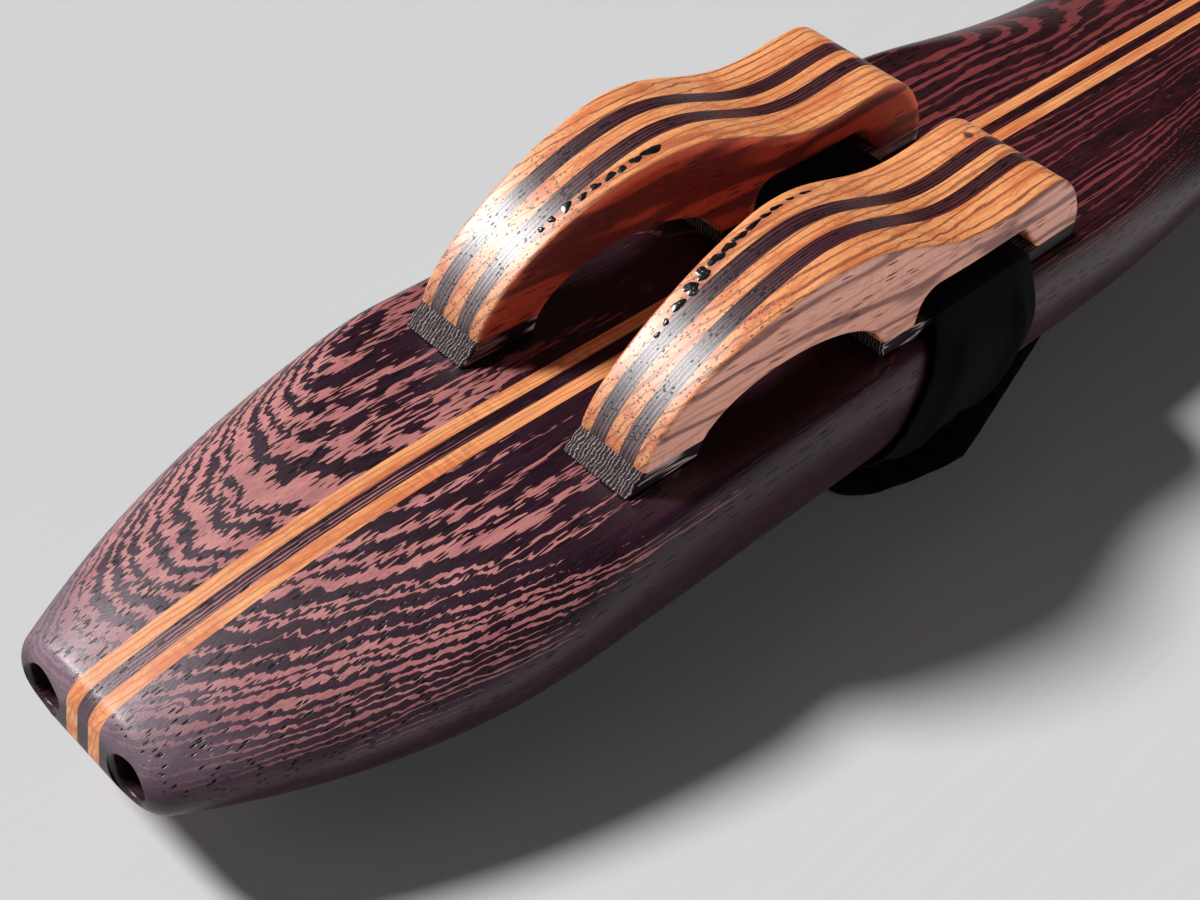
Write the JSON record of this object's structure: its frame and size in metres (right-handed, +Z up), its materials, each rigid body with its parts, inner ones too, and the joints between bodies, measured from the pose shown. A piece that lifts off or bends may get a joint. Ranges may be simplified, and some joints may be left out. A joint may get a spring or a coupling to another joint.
{
  "type": "double flute",
  "caption": "Wooden double flute: two pipes in one striped body, each with a sliding arched block over its air channel, held by one strap.",
  "frame": {"origin": "middle of the flute's length and width, on the surface it lies on", "axes": "+X from the mouth end to the foot, +Y to the left seen from the mouth end, +Z up"},
  "size_m": [0.5999, 0.0724, 0.0567],
  "materials": {
    "dark_wood": "dark purple-brown striped hardwood, satin oil finish with open pores",
    "orange_wood": "orange-brown hardwood with fine dark grain, satin oil finish",
    "black_fabric": "matte black soft strap"
  },
  "bodies": {
    "flute_body": {"left_pipe_top": "dark_wood", "left_pipe_bottom": "dark_wood", "right_pipe_top": "dark_wood", "right_pipe_bottom": "dark_wood", "centre_strip_top": "dark_wood", "centre_strip_bottom": "dark_wood", "left_accent_top": "orange_wood", "left_accent_bottom": "orange_wood", "right_accent_top": "orange_wood", "right_accent_bottom": "orange_wood", "strap": "black_fabric", "strap_tail": "black_fabric"},
    "left_bird": {"left_bird_outer_plank": "orange_wood", "left_bird_outer_stripe": "dark_wood", "left_bird_core": "orange_wood", "left_bird_inner_stripe": "dark_wood", "left_bird_inner_plank": "orange_wood", "left_bird_toe_sole": "dark_wood", "left_bird_rear_sole": "dark_wood"},
    "right_bird": {"right_bird_outer_plank": "orange_wood", "right_bird_outer_stripe": "dark_wood", "right_bird_core": "orange_wood", "right_bird_inner_stripe": "dark_wood", "right_bird_inner_plank": "orange_wood", "right_bird_toe_sole": "dark_wood", "right_bird_rear_sole": "dark_wood"}
  },
  "joints": [
    {"name": "left_bird_slide", "type": "slide", "parent": "flute_body", "child": "left_bird", "axis": [1, 0, 0], "range_m": [-0.002, 0.002]},
    {"name": "right_bird_slide", "type": "slide", "parent": "flute_body", "child": "right_bird", "axis": [1, 0, 0], "range_m": [-0.002, 0.002]}
  ]
}
